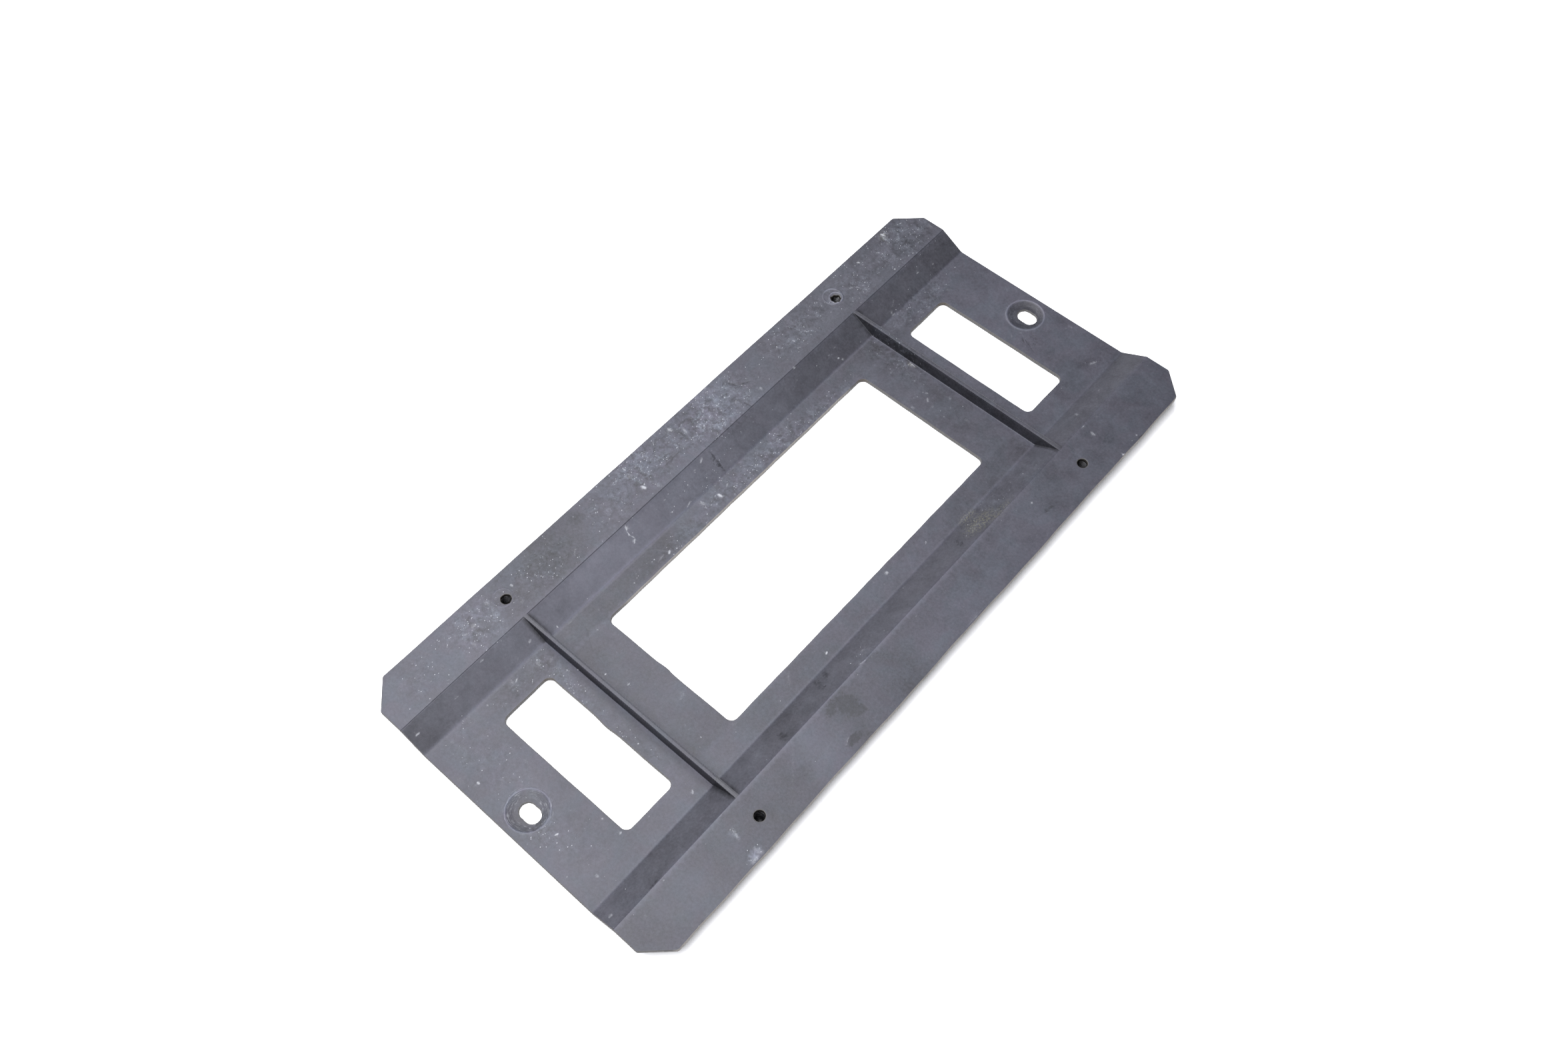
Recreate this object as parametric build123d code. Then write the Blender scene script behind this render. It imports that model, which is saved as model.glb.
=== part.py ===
from build123d import *
import math
import os

# A moulded splash panel: a low floor between two raised side flanges, stiffened by two cross
# ribs, with three windows, two slotted bolt holes and four threaded inserts under the flanges.
# Millimetres. X runs across the panel, Y along it and +Z up. The origin is the middle of the
# floor's underside, which is the plane that the panel rests on.

# ---- Driving dimensions -------------------------------------------------------------------
LENGTH = 450.0
WIDTH = 214.0
SHEET = 2.5                     # wall thickness everywhere
RISE = 9.3                      # how far the flanges stand above the floor

FLOOR_CREASE_X = 61.0           # where the floor's top turns up into a slope
FLANGE_CREASE_X = 76.85         # where a slope's top turns out into a flange
FLOOR_CREASE_R = 3.0            # inside radius of the soft floor crease
FLANGE_CREASE_R = 0.5           # outside radius of the crisp flange crease

CORNER_CUT_X = 14.8             # the cut-off corners, across and along the panel
CORNER_CUT_Y = 13.9

WINDOW_WIDTH = 91.0
WINDOW_CORNER_R = 4.0
CENTRE_WINDOW_LENGTH = 215.4
END_WINDOW_LENGTH = 33.9
END_WINDOW_Y = 168.45

RIB_Y = 137.4
RIB_THICKNESS = 2.5             # at the top; the draft makes the foot a little thicker
RIB_DRAFT_DEG = 1.5

SLOT_Y = 210.0
SLOT_WIDTH = 9.0
SLOT_LENGTH = 12.5
SLOT_SHIFT_X = 1.5              # the slots run further to the +X side of their recesses
RECESS_TOP_D = 22.8
RECESS_BOTTOM_D = 15.0
RECESS_DEPTH = 0.9

INSERT_X = 91.75
INSERT_Y = 137.5
SCREW_HOLE_D = 6.0              # clearance hole through the flange over each insert

BOSS_TOP_D = 15.4
BOSS_BOTTOM_D = 14.4

INSERT_D = 8.6
INSERT_LENGTH = 9.0
INSERT_BORE_D = 5.0             # minor diameter of an M6 thread
INSERT_MOUTH_D = 6.0            # the thread's mouth is countersunk to its major diameter
THREAD_DEPTH = 6.3              # from the countersink down to the drill point
DRILL_TIP = 1.4                 # the bore's pointed end; the insert's foot is closed below it
INSERT_GROOVE_D = 7.6
INSERT_GROOVE_WIDTH = 2.4

# ---- Derived places -----------------------------------------------------------------------
FLANGE_TOP = SHEET + RISE
SLOPE_ANGLE = math.atan2(RISE, FLANGE_CREASE_X - FLOOR_CREASE_X)
CREASE_SHIFT = SHEET * math.tan(SLOPE_ANGLE / 2)    # underside creases lie this much further out
INSERT_TOP = FLANGE_TOP - SHEET
INSERT_PLACES = {
    "insert_left_front": (-INSERT_X, -INSERT_Y),
    "insert_left_rear": (-INSERT_X, INSERT_Y),
    "insert_right_front": (INSERT_X, -INSERT_Y),
    "insert_right_rear": (INSERT_X, INSERT_Y),
}
CUTTER = 40.0                   # height of the tools that cut right through the sheet


def section_line(shift_x, z):
    """One side's crease points and edge, from the middle outwards, at the top or the underside."""
    return [
        (FLOOR_CREASE_X + shift_x, z),
        (FLANGE_CREASE_X + shift_x, z + RISE),
        (WIDTH / 2, z + RISE),
    ]


def panel_section():
    """The closed cross section of the sheet, a hat shape with rounded creases."""
    top = section_line(0.0, SHEET)
    under = section_line(CREASE_SHIFT, 0.0)
    right = top + under[::-1]
    left = [(-x, z) for x, z in right[::-1]]
    face = make_face(Polyline(*right, *left, close=True))

    def corners(x, z):
        return [v for v in face.vertices() if abs(abs(v.X) - x) < 0.01 and abs(v.Y - z) < 0.01]

    radii = {
        top[0]: FLOOR_CREASE_R,
        under[0]: FLOOR_CREASE_R + SHEET,
        top[1]: FLANGE_CREASE_R,
        under[1]: FLANGE_CREASE_R,
    }
    for place, radius in radii.items():
        face = fillet(corners(*place), radius)
    return face


def bent_sheet():
    """The hat section run along the panel, with its four corners cut off."""
    sheet = extrude(Plane.XZ * panel_section(), LENGTH / 2, both=True)
    corner = make_face(Polyline((0, 0), (-CORNER_CUT_X, 0), (0, -CORNER_CUT_Y), close=True))
    for side in (-1, 1):
        for end in (-1, 1):
            cut = corner if side > 0 else mirror(corner, Plane.YZ)
            cut = cut if end > 0 else mirror(cut, Plane.XZ)
            sheet -= Pos(side * WIDTH / 2, end * LENGTH / 2) * extrude(cut, CUTTER, both=True)
    return sheet


def cross_rib():
    """An upright web across the channel, flush with the flanges and sunk into the sheet."""
    half_top = RIB_THICKNESS / 2
    sink = SHEET / 2
    half_foot = half_top + (RISE + sink) * math.tan(math.radians(RIB_DRAFT_DEG))
    web = make_face(
        Polyline(
            (-half_foot, SHEET - sink),
            (half_foot, SHEET - sink),
            (half_top, FLANGE_TOP),
            (-half_top, FLANGE_TOP),
            close=True,
        )
    )
    shift = CREASE_SHIFT / 2
    channel = make_face(
        Polyline(
            (-FLOOR_CREASE_X - shift, SHEET - sink),
            (FLOOR_CREASE_X + shift, SHEET - sink),
            (FLANGE_CREASE_X + shift, FLANGE_TOP - sink),
            (FLANGE_CREASE_X + shift, FLANGE_TOP),
            (-FLANGE_CREASE_X - shift, FLANGE_TOP),
            (-FLANGE_CREASE_X - shift, FLANGE_TOP - sink),
            close=True,
        )
    )
    long_web = extrude(Plane.YZ * web, FLANGE_CREASE_X + SHEET, both=True)
    return long_web & extrude(Plane.XZ * channel, CUTTER, both=True)


def window(length):
    """A rounded rectangular opening, centred on the origin."""
    return extrude(RectangleRounded(WINDOW_WIDTH, length, WINDOW_CORNER_R), CUTTER, both=True)


def slotted_recess():
    """A dished recess for a bolt head, with its slot through the floor."""
    slot = extrude(SlotOverall(SLOT_LENGTH, SLOT_WIDTH), CUTTER, both=True)
    dish = Cone(
        RECESS_BOTTOM_D / 2,
        RECESS_TOP_D / 2,
        RECESS_DEPTH,
        align=(Align.CENTER, Align.CENTER, Align.MAX),
    )
    return Pos(SLOT_SHIFT_X, 0, 0) * slot + Pos(0, 0, SHEET) * dish


def turned(points):
    """A solid of revolution about Z from (radius, height) points."""
    return revolve(Plane.XZ * make_face(Polyline(*points, close=True)), Axis.Z)


def insert_body():
    """An insert without its bore: a barrel with a groove that the moulding grips."""
    radius = INSERT_D / 2
    neck = INSERT_GROOVE_D / 2
    bottom = INSERT_TOP - INSERT_LENGTH
    low = INSERT_TOP - (INSERT_LENGTH + INSERT_GROOVE_WIDTH) / 2
    high = low + INSERT_GROOVE_WIDTH
    return turned(
        [
            (0, bottom),
            (radius, bottom),
            (radius, low),
            (neck, low),
            (neck, high),
            (radius, high),
            (radius, INSERT_TOP),
            (0, INSERT_TOP),
        ]
    )


def insert_bore():
    """The blind threaded bore at its minor diameter, with a countersunk mouth and a drill point."""
    radius = INSERT_BORE_D / 2
    mouth = INSERT_MOUTH_D / 2
    sink = mouth - radius
    end = INSERT_TOP - sink - THREAD_DEPTH
    return turned(
        [
            (0, end - DRILL_TIP),
            (radius, end),
            (radius, INSERT_TOP - sink),
            (mouth, INSERT_TOP),
            (0, INSERT_TOP),
        ]
    )


def boss():
    """The tapered post that holds an insert, from the rest plane up into the flange."""
    return turned(
        [
            (0, 0),
            (BOSS_BOTTOM_D / 2, 0),
            (BOSS_TOP_D / 2, INSERT_TOP),
            (BOSS_TOP_D / 2, INSERT_TOP + SHEET / 2),
            (0, INSERT_TOP + SHEET / 2),
        ]
    )


def boss_hollow():
    """What the moulding leaves out round an insert, its open foot and the screw hole over it."""
    foot = Cylinder(INSERT_D / 2, INSERT_TOP, align=(Align.CENTER, Align.CENTER, Align.MAX))
    screw_hole = Cylinder(SCREW_HOLE_D / 2, CUTTER, align=(Align.CENTER, Align.CENTER, Align.MIN))
    bottom = INSERT_TOP - INSERT_LENGTH
    return insert_body() + Pos(0, 0, bottom) * foot + Pos(0, 0, INSERT_TOP) * screw_hole


def flap_panel():
    """The whole moulding: sheet, ribs, bosses and every opening in it."""
    panel = bent_sheet()
    for end in (-1, 1):
        panel += Pos(0, end * RIB_Y) * cross_rib()
    for x, y in INSERT_PLACES.values():
        panel += Pos(x, y) * boss()
    panel -= window(CENTRE_WINDOW_LENGTH)
    for end in (-1, 1):
        panel -= Pos(0, end * END_WINDOW_Y) * window(END_WINDOW_LENGTH)
        panel -= Pos(0, end * SLOT_Y) * slotted_recess()
    for x, y in INSERT_PLACES.values():
        panel -= Pos(x, y) * boss_hollow()
    return panel


os.makedirs("parts", exist_ok=True)
export_step(flap_panel(), "parts/flap_panel.step")
insert = insert_body() - insert_bore()
for name, (x, y) in INSERT_PLACES.items():
    export_step(Pos(x, y) * insert, f"parts/{name}.step")
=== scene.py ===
import math

import bmesh
import bpy
import numpy as np
from mathutils import Euler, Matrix, Vector, geometry, kdtree


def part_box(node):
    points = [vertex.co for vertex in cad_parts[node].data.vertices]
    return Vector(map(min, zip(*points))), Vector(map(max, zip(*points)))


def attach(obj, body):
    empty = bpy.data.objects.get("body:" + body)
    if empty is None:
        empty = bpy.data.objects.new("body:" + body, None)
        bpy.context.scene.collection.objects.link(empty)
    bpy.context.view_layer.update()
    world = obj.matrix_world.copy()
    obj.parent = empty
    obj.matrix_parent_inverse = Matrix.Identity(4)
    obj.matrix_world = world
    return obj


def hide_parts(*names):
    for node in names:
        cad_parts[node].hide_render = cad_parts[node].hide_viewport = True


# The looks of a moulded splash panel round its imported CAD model. The panel is one closed mesh: a
# top and an underside, each triangulated inside its outline, the rounded cut edges that join them,
# two ribs and four bosses. Each threaded insert is a mesh of its own, with a real thread.
# Lengths are in millimetres until a mesh is written. X runs across the panel, Y along it, Z up.

MM = 0.001

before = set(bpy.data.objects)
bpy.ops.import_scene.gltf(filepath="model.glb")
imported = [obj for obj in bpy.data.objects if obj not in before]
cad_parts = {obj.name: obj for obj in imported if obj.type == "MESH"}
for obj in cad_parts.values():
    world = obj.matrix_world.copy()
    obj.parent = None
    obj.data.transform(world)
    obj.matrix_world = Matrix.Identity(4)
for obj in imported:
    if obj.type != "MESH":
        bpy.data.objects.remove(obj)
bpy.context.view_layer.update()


def middle_of(node):
    """The middle of a CAD node's plan, in millimetres."""
    low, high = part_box(node)
    return ((low + high) / 2 / MM).xy[:]


# ---- Sizes ----
panel_low, panel_high = (np.array(corner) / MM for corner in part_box("flap_panel"))
WIDTH, LENGTH, FLANGE_TOP = panel_high - panel_low
INSERT_LOW, INSERT_HIGH = (corner.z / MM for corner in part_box("insert_left_front"))
INSERT_PLACES = {name: middle_of(name) for name in sorted(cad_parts) if name.startswith("insert")}

SHEET = 2.5
RISE = FLANGE_TOP - SHEET
FLOOR_CREASE_X = 61.0
FLANGE_CREASE_X = 76.85
FLOOR_CREASE_R = 3.0
FLANGE_CREASE_R = 0.5
SLOPE = math.atan2(RISE, FLANGE_CREASE_X - FLOOR_CREASE_X)
CREASE_SHIFT = SHEET * math.tan(SLOPE / 2)
FLANGE_X = FLANGE_CREASE_X + FLANGE_CREASE_R * math.tan(SLOPE / 2)     # a flange is flat from here

CORNER_CUT = (14.8, 13.9)       # the cut-off corners, across and along the panel
CORNER_R = 8 * [1.8]            # two for each cut-off corner, from the front right round
CORNER_R[2] = 4.5               # the first of the rear right corner's two is worn

WINDOW_WIDTH = 91.0
WINDOW_R = 4.0
WINDOWS = ((0, 215.4), (-168.45, 33.9), (168.45, 33.9))     # middle Y and length of each
# Two windows have a ragged stretch: which end of the window, its X, half width and reach.
RAGGED = {0: (-1, -2, 7, 0.5), -168.45: (1, -3, 9, 0.55)}

RIB_Y = 137.4
RIB_HALF = 1.25
RIB_DRAFT = math.tan(math.radians(1.5))
RIB_EDGE_R = 0.25
RIB_FOOT_R = 0.45
RIB_LINE = (0.55, 0.67, 0.78, 0.89)     # offsets of the mould line's points along a rib's top
RIB_COLUMNS = 45                # columns of points across the floor, and where they are on a slope
RIB_SLOPE_COLUMNS = np.linspace(64.6, 75.2, 6)

SLOT_Y = 210.0
SLOT_SIZE = (12.5, 9.0)
SLOT_SHIFT = 1.5
RECESS_R = 11.4
RECESS_FLOOR_R = 7.5
RECESS_DEPTH = 0.9
RECESS_LIP = 0.22

SCREW_HOLE_R = 3.0
POCKET_R = 4.3
POCKET_NECK_R = 3.8
POCKET_NECK_WIDTH = 2.4
POCKET_CHAMFER = 0.15
BOSS_FOOT_R = 7.2
BOSS_HEAD_R = 7.7
BOSS_FILLET = 0.8

TOP_EDGE_R = 0.35               # rounding of the cut edges, above and below
UNDER_EDGE_R = 0.25
MOULD_LINE_X = 76.55            # a fine groove that the mould leaves beside each flange crease
MOULD_LINE_HALF = 0.32
MOULD_LINE_DEPTH = 0.14
RIPPLE_X = 97.0                 # outboard of this the flanges are a little wavy
RIPPLES = (0.2, 0.1)            # how much so on the right and the left
UNEVEN = (0.16, 0.05)           # how uneven the long edges are, on the right and the left
HOLE_WEAR = {"insert_left_rear": 0.3, "insert_left_front": 0.08}
SCUFF_HEIGHT = 0.03
CUT_DEPTH = 0.12

# How far apart the mesh's points are: all over, along its lines and round its rings.
TOP_SPACING = 2.4
UNDER_SPACING = 3.2
TOP_LINE_SPACING = 2.2
UNDER_LINE_SPACING = 4.0
RECESS_RINGS = [*np.arange(5.2, 10.5, 0.6), 10.9, 11.25, 11.6, 12.0, 12.45, 13.2, 14.2]
HOLE_RINGS = np.arange(3.75, 7.6, 0.4)
WELD = 0.002                    # points this close become one
TURNS = 48                      # points round each screw hole
QUARTER = np.linspace(0, math.pi / 2, 4)        # the angles of a small rounded edge's rows
SKIN, CUT, UNDER = 0, 1, 2      # the panel's material slots

# ---- Wear, and painted light and shade ----
# Pale marks: middle X, middle Y, length, width, turn in degrees and strength.
SCUFFS = [
    # left flange, rear to front
    (-84.7, 221.5, 4.5, 3.2, 0, 0.45), (-102.8, 196.2, 3.4, 2.4, 20, 0.95),
    (-100.4, 194.4, 3.2, 1.8, -30, 0.6), (-97, 193.5, 9, 2.4, -42, 0.4), (-83, 187.5, 3.4, 3, 0, 0.35),
    (-99.9, 168.7, 2.6, 1.8, 30, 0.9), (-79.3, 179.4, 1.5, 1.4, 0, 0.8), (-90, 150.5, 2.2, 1.6, 0, 0.55),
    (-101, 117, 3, 5, 20, 0.3), (-106, 119, 0.8, 4, 10, 0.6), (-98.6, 127.5, 1.4, 1.4, 0, 0.6),
    (-81.2, 56.8, 3.4, 2.4, -20, 0.6), (-76.6, 81.3, 1.6, 1.8, 0, 0.8), (-94.5, 5.5, 5.5, 2.4, -15, 0.65),
    (-101.4, 0.3, 4.2, 2.8, 10, 0.8), (-96.5, -37.5, 5, 4, 0, 0.5), (-85.3, -37.8, 4.2, 2.6, 15, 1),
    (-79.6, -31, 5.5, 2.6, 20, 0.5), (-102, -36.6, 2, 1.2, 0, 0.85), (-92, -19, 5, 3, 30, 0.3),
    (-85.8, -91.8, 1.3, 3.4, -30, 0.55), (-84.2, -93.2, 4.4, 1.2, -45, 0.5),
    (-95.6, -129.8, 2.4, 2, 0, 0.75), (-84, -133, 2.6, 3.2, 20, 0.5), (-97.8, -146, 4.4, 3, 0, 0.55),
    (-92.8, -160, 3.4, 4.2, 20, 0.6), (-92.2, -166, 1.5, 2.8, -10, 0.6), (-84.6, -167, 4.2, 2.6, 0, 0.55),
    (-99, -153, 3, 2, 0, 0.35),
    # left slope
    (-69, 189.8, 0.9, 2.8, 0, 0.7), (-66.8, 202.5, 0.9, 2.4, 0, 0.55), (-66, 162, 1.1, 6, 25, 0.5),
    (-63, 157, 1.3, 4, 35, 0.55), (-70, 110.6, 1, 2.2, 0, 0.55), (-69, 104.4, 1, 1.7, 0, 0.5),
    (-64.5, 108, 1.1, 1.7, 0, 0.9), (-62.6, 109.7, 1.7, 2.2, 0, 0.7), (-70.8, 76.9, 1, 3.4, 10, 0.4),
    (-74, -2.5, 1.4, 4.2, 25, 0.75), (-72.6, -9.5, 1, 2, 0, 0.5), (-72, -35, 1.1, 1.8, 0, 0.55),
    (-74.6, -62.9, 3.4, 0.8, -35, 1), (-71.8, -64, 3.4, 0.7, 0, 0.95), (-69.4, -63.4, 2.4, 0.7, 25, 0.95),
    (-67.3, -64.3, 3.2, 0.8, -58, 1), (-66.5, -145, 1.6, 2.8, 20, 0.65),
    (-74.9, -170.6, 0.9, 3.2, 0, 0.7), (-70.5, -193, 0.9, 3.2, 0, 0.6), (-70.3, -220, 1.1, 3.2, 0, 0.85),
    (-64.4, -156, 0.9, 2, 20, 0.5), (-62.6, -128.8, 1.5, 1.1, 0, 1),
    # floor, left of the windows
    (-60.8, 184.5, 2, 2, 0, 0.6), (-58, 166, 1.6, 1.8, 0, 0.55), (-47.3, 165, 1.2, 1.2, 0, 0.5),
    (-51, 160, 2.2, 1.8, 20, 0.45), (-61.5, 157, 1.2, 3.2, 0, 0.7), (-55.1, -1.7, 1.6, 4, 20, 0.65),
    (-53.4, -9.6, 4.2, 2.4, 10, 1), (-57.3, -20, 5.5, 3.2, 20, 0.65), (-62.4, -25.8, 1.1, 5.5, 15, 0.7),
    (-49.5, -55.4, 1.7, 3.2, 30, 0.95), (-52.8, -57, 12, 1.3, 33, 0.4), (-50.4, -61, 1.5, 7, 10, 0.5),
    (-58.4, -67, 1.2, 1.2, 0, 0.5), (-54, -74, 2.2, 3.2, 0, 0.35), (-50.6, -82, 1.4, 0.9, 0, 0.75),
    (-53.5, -106.5, 1.8, 1.5, 0, 0.4),
    # floor, right of the windows
    (49.8, 13.8, 2.8, 2.8, 0, 0.85), (54.2, 43, 1.1, 2.2, 35, 0.75), (56.5, -45, 1.3, 2.4, 15, 1),
    (51.4, -69.8, 13, 0.6, -40, 0.4), (51, -26.5, 1.8, 2.2, 0, 0.3), (54, -35.7, 1.1, 1.1, 0, 0.35),
    (48.6, 4.5, 1, 1.4, 0, 0.4),
    # floor, behind the rear rib
    (-48, 195, 4.4, 2.2, 40, 0.45), (-28.5, 196.5, 1.5, 1.3, 0, 0.45), (3.4, 191.4, 1.1, 3.4, 35, 0.45),
    (6.1, 197, 2.2, 1.6, 0, 0.4), (3, 184.4, 1.6, 1, 0, 0.9), (52.6, 207, 6, 2.4, 65, 0.62),
    (26, 220.5, 4.4, 2.2, 0, 0.4), (25, 218, 1.2, 1.2, 0, 0.5),
    # floor, between the rear rib and the centre window
    (-29.3, 135.2, 6, 2.2, -12, 1), (-9, 123.7, 2.4, 1.5, 30, 0.6), (-5.6, 120.3, 3.8, 1.9, -42, 0.65),
    (-0.4, 118.3, 2.2, 2.4, 0, 0.5), (-2.4, 129.5, 3, 3, 0, 0.3), (3.6, 130, 2.2, 3.6, 20, 0.45),
    (8.1, 124.5, 1.1, 2.2, 20, 0.45), (21, 124, 4.4, 3, 20, 0.35), (-8.8, 110, 3.4, 3, 0, 0.55),
    (-49.6, 130, 3, 2.2, 0, 0.35),
    # floor, between the centre window and the front rib
    (-45.5, -115.5, 1.4, 1.1, 0, 0.7), (-59.8, -122.5, 1.1, 3.4, 0, 0.45),
    (-23.7, -131.3, 1.1, 1.5, 0, 1), (-10.4, -127.3, 1.3, 2.6, 0, 0.75),
    (14.9, -112.6, 4.4, 3.6, -45, 0.4), (16.1, -115.2, 2, 2, 0, 0.5), (50.4, -110, 1.2, 0.9, 0, 0.6),
    (38.7, -124, 1.2, 0.9, 0, 0.8), (42, -128.3, 1.1, 1.1, 0, 0.55), (28, -124.5, 1.5, 0.9, 0, 0.45),
    (36.5, -118.5, 8, 0.7, -65, 0.3), (46.2, -107, 5, 5, 0, 0.3),
    # floor, in front of the front rib
    (-40.7, -143, 1.2, 1.1, 0, 0.85), (-51.5, -144.5, 2.6, 4.4, 20, 0.5),
    (-55, -150.5, 4.6, 2.6, 0, 0.55), (-28.6, -149.8, 1.3, 1.1, 0, 0.75), (-20, -149, 1.5, 1.5, 0, 0.5),
    (28, -148, 2.2, 2.2, 0, 0.35), (25.6, -144, 1.8, 1.3, 0, 0.4), (55.6, -148.3, 2.8, 1.5, -40, 0.8),
    (-56.7, -164.7, 1, 2.8, 30, 0.8), (-57.8, -167, 4.4, 2.4, 0, 0.55), (48, -172, 1.3, 1.3, 0, 0.5),
    (-57.8, -184.5, 1.4, 1.1, 0, 0.65), (31.2, -188.3, 1.5, 1.5, 0, 0.75),
    (43.2, -187.6, 1.5, 2.2, 0, 0.75), (-50.5, -191.5, 1.8, 2.6, 0, 0.4),
    (-20, -192.5, 4.2, 2.2, 0, 0.35), (-60.8, -199, 1.3, 1.1, 0, 0.85), (19.8, -209, 2.6, 1.1, 70, 1),
    (49.8, -210.5, 2.6, 2, 0, 0.65), (-29.5, -216.6, 2.2, 1.7, 0, 1), (-56, -210.5, 3.2, 2.6, 0, 0.4),
    (-40, -206, 7, 5, 0, 0.25), (-22, -207.5, 1.2, 1.5, 0, 0.4), (16.5, -195.5, 6, 1.2, 35, 0.35),
    (58.3, -179, 2.2, 2.2, 0, 0.35), (-37, -221.5, 6, 3, 0, 0.3),
    # right slope and flange
    (68, 189.4, 1.2, 3, 20, 0.45), (68.2, 166.5, 3.2, 2.4, -20, 0.6), (84.6, 158, 4.2, 2.1, -15, 0.7),
    (79.4, 169.4, 2.2, 2.2, 0, 0.4), (77.4, 158.5, 0.8, 3.4, 0, 0.7), (104, 173.6, 1.4, 1.4, 0, 0.75),
    (104.2, 168.6, 1.2, 1.4, 0, 0.55), (106, 157.5, 0.8, 2.6, 0, 1), (85.6, 97.3, 1.6, 1.8, 0, 0.8),
    (105.4, 20, 0.8, 14, 0, 0.5), (79.8, 76.8, 1, 1, 0, 0.5), (81.2, -0.5, 1, 1.2, 0, 0.5),
    (101.3, -15.5, 1.8, 1.8, 0, 0.4), (73, -17.5, 1.5, 1.5, 0, 0.5), (71.6, -33.5, 1.6, 2.4, 0, 0.45),
    (76.9, -40, 0.8, 8, -12, 0.6), (88, -108.5, 33, 0.4, -50, 0.32), (68, -113.5, 3, 5, 0, 0.3),
    (99.2, -79, 1.1, 6.5, 25, 0.5), (70, -220.5, 2, 3, 0, 0.65), (88.8, -152.2, 8, 2.6, -18, 0.6),
    (103, -151, 6.6, 3.4, 8, 0.55), (105, -155.5, 2.6, 6, 0, 0.65), (77.2, -150, 0.8, 2, 0, 0.6),
    (78.4, -192, 1.2, 1.2, 0, 0.6), (84, -210, 2.4, 1.4, 0, 0.35),
]
# Dark marks, in the same form.
STAINS = [
    # right flange: an oily patch and a smaller one beside it
    (86.5, -63.5, 15.5, 11.5, 8, 0.95), (81.5, -70.5, 6, 10, 20, 0.85), (93, -62, 6.5, 9, -15, 0.8),
    (101, -75.5, 4.6, 10.5, 0, 0.95), (104.4, -69.5, 1.6, 7, -20, 0.6), (95.3, 101, 2, 11, -8, 0.55),
    (106.4, -195, 0.9, 9, 0, 0.5), (106.4, -70, 0.9, 9, 0, 0.5), (106.5, 174.5, 1, 6, 0, 0.7),
    # slopes
    (64.9, -55.6, 4.8, 3.4, 0, 0.7), (66.8, -62.5, 10, 4, -8, 0.55), (71.8, -97.5, 6.5, 4.2, 0, 0.7),
    (70, 52, 7, 4, -15, 0.5), (76, -195, 1.2, 9, 0, 0.5), (-68.5, 4.4, 12.5, 2, -3, 0.75),
]
# Scratches and dents that cut into the face, in the same form. The strength is also the depth.
CUTS = [
    (-91.7, 52.5, 8.5, 1.3, 66, 0.8), (-96.4, 48, 6.5, 1.5, 22, 0.9), (-100.2, 44.8, 3.6, 1.1, -70, 0.7),
    (-86.4, 33.5, 8.5, 0.9, 90, 0.8), (-79, 43.4, 6.5, 1, 8, 0.7), (-84, 22, 2.2, 2, 0, 0.7),
    (-93.4, 3.4, 5, 1.2, 12, 0.7), (-86.6, -12.5, 14, 1.1, 92, 0.8), (-91, -15.5, 9, 1, 82, 0.8),
    (-88.6, -13, 7, 0.7, 75, 0.5), (-82.4, -19.5, 6, 0.7, -50, 0.45),
    (-103.4, -133.5, 6.5, 0.7, -62, 0.6), (-104.5, -129.5, 2.8, 0.6, -85, 0.5),
    (-54.8, 44, 5, 0.9, 45, 0.7), (-56.6, 6.2, 5, 0.8, 5, 0.5), (-44.5, -122.5, 16, 0.9, -31, 0.4),
    (-57.5, -37, 4, 0.6, -45, 0.4), (14.5, 193.2, 13, 1, -24, 0.7), (9.6, 194.4, 9, 0.9, -38, 0.6),
    (16, 197.5, 10, 0.8, -42, 0.5), (12.4, 200, 6, 0.8, -48, 0.45), (-19, 216, 12, 0.7, -45, 0.3),
    (88.6, -150.6, 6, 0.8, -6, 0.5), (77.9, -36.5, 1, 5, 10, 0.5),
]
# Soft fields of dust: middle X, middle Y, length, width and strength.
DUST = [
    (-92, 25, 34, 62, 0.85), (-96, -28, 30, 46, 0.75), (-92, 203, 34, 44, 0.5), (-100, 194.5, 9, 7, 0.6),
    (-95, 105, 26, 60, 0.45), (-92, -158, 30, 36, 0.6), (-92, -60, 34, 30, 0.35), (-49, 55, 11, 100, 0.5),
    (-50, -30, 11, 70, 0.4), (-56, 15, 14, 90, 0.4), (-40, 130, 44, 20, 0.35), (-56, 175, 16, 60, 0.4),
    (0, 122, 40, 24, 0.1), (-45, -146, 40, 12, 0.35), (-54, -165, 14, 40, 0.35), (-68, -15, 12, 60, 0.2),
    (68, 72, 16, 34, 0.15), (69, 100, 12, 60, 0.12), (73, -34, 8, 26, 0.2), (102.8, -154, 6, 9, 1.1),
    (88.6, -152, 6, 3, 0.7), (12, -212, 18, 16, 0.35), (28, -206, 44, 24, 0.18),
    (-92, -200, 26, 30, 0.25), (0, -148, 90, 8, 0.25), (-92, -112, 30, 56, 0.3),
    (-35, -205, 56, 26, 0.22), (-92, 160, 30, 50, 0.4),
]
# Fields of yellow grit, in the same form.
YELLOW_DUST = [
    (61.5, 71, 4, 12, 1), (70, 70, 10, 22, 0.8), (75, 82, 4, 22, 0.7), (-29, 135.2, 6, 4, 1),
    (-102, 195.5, 6, 6, 0.7), (-48, 140, 6, 2, 0.3),
]
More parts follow.
